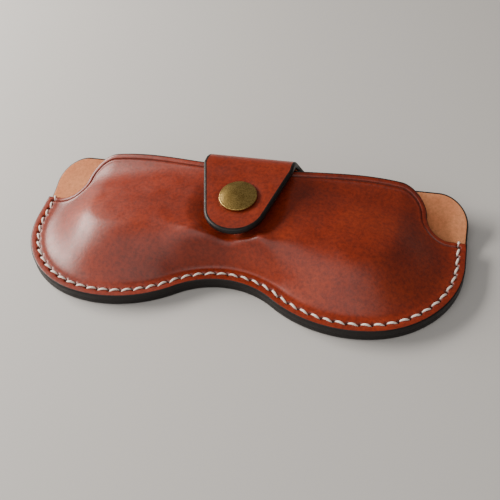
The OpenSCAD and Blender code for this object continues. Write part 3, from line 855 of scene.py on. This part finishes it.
def strap():
    """The strap in three pieces, cut across the fold at the angles LOWER_CUT and UPPER_CUT."""
    flat, columns = strap_flat()
    rings, around = flat.shape[:2]
    from_snap = np.hypot(flat[..., 0], flat[..., 1] - SNAP_RUN)
    dent = np.where(flat[..., 2] < -LEATHER + 0.3, DENT_DEPTH * bell(from_snap - DENT_RADIUS, 1.6), 0)
    # Painted shade in a ring at the snap cap's rim, on the strap's grain side
    painted_shade = np.where(flat[..., 2] < -LEATHER + 0.3, 0.35 * bell(from_snap - 7.0, 0.9), 0)
    flat = flat.copy()
    flat[..., 2] += dent
    solid = strap_solid(flat)

    skin = Skin()
    skin.grid(solid, 0, closed=True)
    points = skin.points[0]
    index = np.arange(rings * around).reshape(rings, around)
    key = np.round(points * 1e4).astype(np.int64)
    _, first, merged = np.unique(key, axis=0, return_index=True, return_inverse=True)
    merged = first[merged.reshape(-1)]
    faces, kinds, row_of = [], [], []
    for i in range(rings - 1):
        for j in range(around):
            k = (j + 1) % around
            corners = (index[i, j], index[i, k], index[i + 1, k], index[i + 1, j])
            quad = [merged[corner] for corner in corners]
            face = [v for n, v in enumerate(quad) if v != quad[n - 1]]
            if len(face) > 2 and len(set(face)) == len(face):
                faces.append(face)
                kinds.append(columns[j])
                row_of.append(i)
    start_cap = [int(merged[v]) for v in index[0]][::-1]
    if volume(points, faces + [start_cap]) < 0:
        faces = [face[::-1] for face in faces]
    reference = bpy.data.meshes.new("reference")
    reference.from_pydata(points.tolist(), [], faces)
    normals = np.array([tuple(n.vector) for n in reference.vertex_normals])
    bpy.data.meshes.remove(reference)

    runs = np.array([row[0] for row in strap_rows()])

    def row_at(degrees):
        return int(np.argmin(np.abs(runs / FOLD_RADIUS + ROOT_ANGLE - math.radians(degrees))))

    cuts = [0, row_at(LOWER_CUT), row_at(UPPER_CUT), rings - 1]
    plans = [
        ("strap_root", "pouch", "strap_lower", -27, 6, ["strap_bend_lower"]),
        ("strap_fold", "strap_lower", "strap_upper", 22, 54, ["strap_bend_upper"]),
        ("strap_leaf", "strap_upper", "strap", 74, 98, ["strap_tab"]),
    ]
    for (name, first_body, second_body, start, end, nodes), low, high in zip(plans, cuts[:-1], cuts[1:]):
        chosen = [n for n, row in enumerate(row_of) if low <= row < high]
        part_faces = [faces[n] for n in chosen]
        part_kinds = [kinds[n] for n in chosen]
        caps = 0
        for row in (low, high):
            ring = [int(merged[v]) for v in index[row]]
            if len(set(ring)) == len(ring):
                part_faces.append(ring)
                part_kinds.append(FLESH)
                caps += 1
        used = sorted({v for face in part_faces for v in face})
        number = {v: n for n, v in enumerate(used)}
        part_faces = [[number[v] for v in face] for face in part_faces]
        if caps == 2:
            part_faces[-2] = part_faces[-2][::-1]
        part_points = points[used]
        sense = edge_sense(part_faces, caps)
        for n in range(caps):
            if not sense[n]:
                part_faces[-caps + n] = part_faces[-caps + n][::-1]
        piece = make_object(name, part_points, part_faces, part_kinds, LEATHERS, normals[used], caps)
        attribute(piece, "painted_shade", painted_shade.reshape(-1)[used])
        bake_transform(piece)
        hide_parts(*nodes)


def edge_sense(faces, caps):
    """Whether each cap runs against its neighbours along their shared edge, as a closed surface does."""
    walked = set()
    for face in faces[:-caps]:
        walked.update(zip(face, face[1:] + face[:1]))
    answers = []
    for cap in faces[-caps:]:
        answers.append((cap[0], cap[1]) not in walked)
    return answers


# ---- Thread: two strands that change sides at every hole ----
PLIES = 3
THREAD_SIDES = 14
# Share of a stitch's pitch that is left at each of its ends
STITCH_MARGIN = 0.09
# How deep a strand's middle lies under each surface where it goes in, and how far it comes out again
FRONT_DIP, FRONT_RISE = 1.25, 1.38
BACK_DIP, BACK_RISE = 1.2, 0.82


def strand(name, starts_on_front):
    """A strand laid over each second gap of the front, and under the others on the back."""
    centres, sizes, sunk = [], [], []
    for n in range(2 * STITCHES):
        s0 = (n - STITCHES) * PITCH
        on_front = (n % 2 == 0) == starts_on_front
        for t in np.linspace(0, 1, 15)[:-1]:
            s = s0 + PITCH * (STITCH_MARGIN + (1 - 2 * STITCH_MARGIN) * t)
            x, y, heading = seam(s)
            side = slant(s0 + PITCH / 2) * (2 * t - 1) * (1 if on_front else -1)
            x -= math.sin(heading) * side
            y += math.cos(heading) * side
            arch = math.sin(math.pi * t) ** 0.5
            if on_front:
                over_edge = float(smooth((y - NOTCH_Y + 0.2) / 1.3))
                z = float(bow(y)) + (2 - over_edge) * LEATHER - FRONT_DIP + FRONT_RISE * arch
            else:
                z = float(bow(y)) + BACK_DIP - BACK_RISE * arch
            centres.append((x, y, z))
            sizes.append((0.20 + 0.22 * arch, 0.22 + 0.10 * arch))
            # Painted shade at the stitch's ends, where the strand goes into the leather
            sunk.append(1 - smooth(arch * 1.6 - 0.25))
    centres = np.array(centres)
    sizes = np.array(sizes)
    tangent = np.gradient(centres, axis=0)
    tangent /= np.linalg.norm(tangent, axis=1, keepdims=True)
    side = np.cross(tangent, np.tile([0.0, 0.0, 1.0], (len(tangent), 1)))
    side /= np.maximum(np.linalg.norm(side, axis=1, keepdims=True), 1e-9)
    up = np.cross(side, tangent)
    run = np.concatenate([[0], np.cumsum(np.linalg.norm(np.diff(centres, axis=0), axis=1))])
    rows = []
    for k in range(THREAD_SIDES):
        a = 2 * math.pi * k / THREAD_SIDES
        ply = 1 + 0.10 * np.cos(PLIES * a - 2.2 * run * PLIES)
        rows.append(
            centres
            + (sizes[:, :1] * ply[:, None] * math.cos(a)) * side
            + (sizes[:, 1:] * ply[:, None] * math.sin(a)) * up
        )
    grid = np.stack(rows, axis=1)
    count = len(centres)
    skin = Skin()
    skin.grid(grid, 0, closed=True)
    quads = skin.quads[0].tolist()
    index = np.arange(count * THREAD_SIDES).reshape(count, THREAD_SIDES)
    faces = quads + [index[0].tolist()[::-1], index[-1].tolist()]
    points = grid.reshape(-1, 3)
    faces = outward(points, faces)
    piece = make_object(name, points, faces, [0] * len(faces), [THREAD], flat_faces=2)
    attribute(piece, "painted_shade", np.repeat(np.array(sunk), THREAD_SIDES) * 0.85)
    return piece


# ---- Snap ----
def lathe(name, profile, material, segments=96):
    """A turned piece in the snap's frame. The profile is radius and height above the strap's flesh side."""
    profile = np.array(profile)
    a = np.linspace(0, 2 * math.pi, segments + 1)[:-1]
    ring = np.stack([np.cos(a), np.sin(a)], axis=-1)
    grid = np.zeros((len(profile), segments, 3))
    grid[..., 0] = profile[:, :1] * ring[:, 0]
    grid[..., 1] = profile[:, :1] * ring[:, 1]
    grid[..., 2] = profile[:, 1:]
    skin = Skin()
    skin.grid(grid, 0, closed=True)
    points, faces, kinds = skin.joined()
    faces = outward(points, faces)
    tilt = Matrix.Rotation(STRAP_TILT, 4, "X")
    points = np.array([tuple(tilt @ Vector(p)) for p in points]) + np.array([0, SNAP_Y, SNAP_Z])
    return make_object(name, points, faces, kinds, [material])


def snap_cap():
    """Domed cap with a turned rim, on the hollow post that is rolled over inside the socket."""
    rim, dome_rise, rim_rise = 7.0, 1.75, 0.80
    inner = rim - 0.45
    sphere = (inner**2 + (dome_rise - rim_rise) ** 2) / (2 * (dome_rise - rim_rise))
    profile = [(0.0, LEATHER + dome_rise)]
    for r in np.linspace(0, inner, 25)[1:]:
        profile.append((r, LEATHER + dome_rise - sphere + math.sqrt(sphere**2 - r * r)))
    for a in np.radians(np.linspace(60, -60, 11)):
        profile.append((rim - 0.42 + 0.42 * math.cos(a), LEATHER + 0.42 + 0.42 * math.sin(a) * 1.05))
    profile += [(rim - 0.5, LEATHER - 0.02), (2.05, LEATHER - 0.02), (2.05, -0.6)]
    for a in np.radians(np.linspace(90, -90, 9)):
        profile.append((2.42 + 0.4 * math.cos(a), -0.85 + 0.25 * math.sin(a)))
    profile += [(1.55, -1.0), (1.55, LEATHER + 0.2), (0.0, LEATHER + 0.2)]
    return lathe("snap_cap_turned", profile, ANTIQUE_BRASS)


# ---- Camera, floor and light ----
CAMERA_TURN, CAMERA_RISE, CAMERA_ROLL = (math.radians(a) for a in (17.93, 47.0, -6.3))
CAMERA_DISTANCE, CAMERA_LENS = 0.291, 55.5
CAMERA_TARGET = Vector((0.0039, 0.001, 0.0))


def add_camera():
    back = Vector((
        math.sin(CAMERA_TURN) * math.cos(CAMERA_RISE),
        -math.cos(CAMERA_TURN) * math.cos(CAMERA_RISE),
        math.sin(CAMERA_RISE),
    ))
    right = (-back).cross(Vector((0, 0, 1))).normalized()
    up = right.cross(-back)
    c, s = math.cos(CAMERA_ROLL), math.sin(CAMERA_ROLL)
    right, up = c * right + s * up, c * up - s * right
    data = bpy.data.cameras.new("camera")
    data.lens = CAMERA_LENS
    data.sensor_width = 36
    data.clip_start = 0.01
    camera = bpy.data.objects.new("camera", data)
    turn = Matrix((right, up, back)).transposed().to_4x4()
    camera.matrix_world = Matrix.Translation(CAMERA_TARGET + back * CAMERA_DISTANCE) @ turn
    bpy.context.scene.collection.objects.link(camera)
    bpy.context.scene.camera = camera


def add_light(name, place, aim, size, power, colour):
    data = bpy.data.lights.new(name, "AREA")
    data.shape = "RECTANGLE"
    data.size, data.size_y = size
    data.energy = power
    data.color = colour
    light = bpy.data.objects.new(name, data)
    direction = Vector(aim) - Vector(place)
    light.rotation_euler = direction.to_track_quat("-Z", "Y").to_euler()
    light.location = place
    bpy.context.scene.collection.objects.link(light)


def add_floor():
    mesh = bpy.data.meshes.new("floor")
    reach = 3.0
    corners = [(-reach, -reach, 0), (reach, -reach, 0), (reach, reach, 0), (-reach, reach, 0)]
    mesh.from_pydata(corners, [], [(0, 1, 2, 3)])
    floor = bpy.data.objects.new("floor", mesh)
    material, nodes, links, shader = new_material("pale_floor")
    shader.inputs["Base Color"].default_value = linear(205, 203, 200)
    shader.inputs["Roughness"].default_value = 0.8
    mesh.materials.append(material)
    bpy.context.scene.collection.objects.link(floor)


def add_world():
    world = bpy.data.worlds.new("studio")
    world.use_nodes = True
    background = world.node_tree.nodes["Background"]
    background.inputs["Color"].default_value = (1.0, 0.97, 0.94, 1)
    background.inputs["Strength"].default_value = 0.18
    bpy.context.scene.world = world


# ---- The scene ----
add_camera()
add_floor()
add_world()
add_light("key_softbox", (-0.55, 0.10, 0.28), (-0.02, 0.0, 0.01), (0.50, 0.20), 7.5, (1.0, 0.94, 0.87))
add_light("front_fill", (-0.10, -0.60, 0.60), (0.0, 0.0, 0.01), (0.9, 0.9), 3.6, (1.0, 0.96, 0.92))

front_skin = front_panel()
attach(front_skin, "pouch")
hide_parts("front_panel")

back_skin = back_panel()
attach(back_skin, "pouch")
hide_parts("back_panel")

for strand_name, node_name, on_front in (
    ("strand_a", "thread_strand_a", True),
    ("strand_b", "thread_strand_b", False),
):
    thread = strand(strand_name, on_front)
    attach(thread, "pouch")
    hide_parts(node_name)

strap()

cap = snap_cap()
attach(cap, "strap")
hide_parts("snap_cap")

for node_name, material in (
    ("snap_socket", BRASS),
    ("snap_spring", SPRING_STEEL),
    ("snap_stud", BRASS),
    ("snap_eyelet", BRASS),
):
    for material_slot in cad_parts[node_name].material_slots:
        material_slot.material = material

bpy.context.view_layer.update()
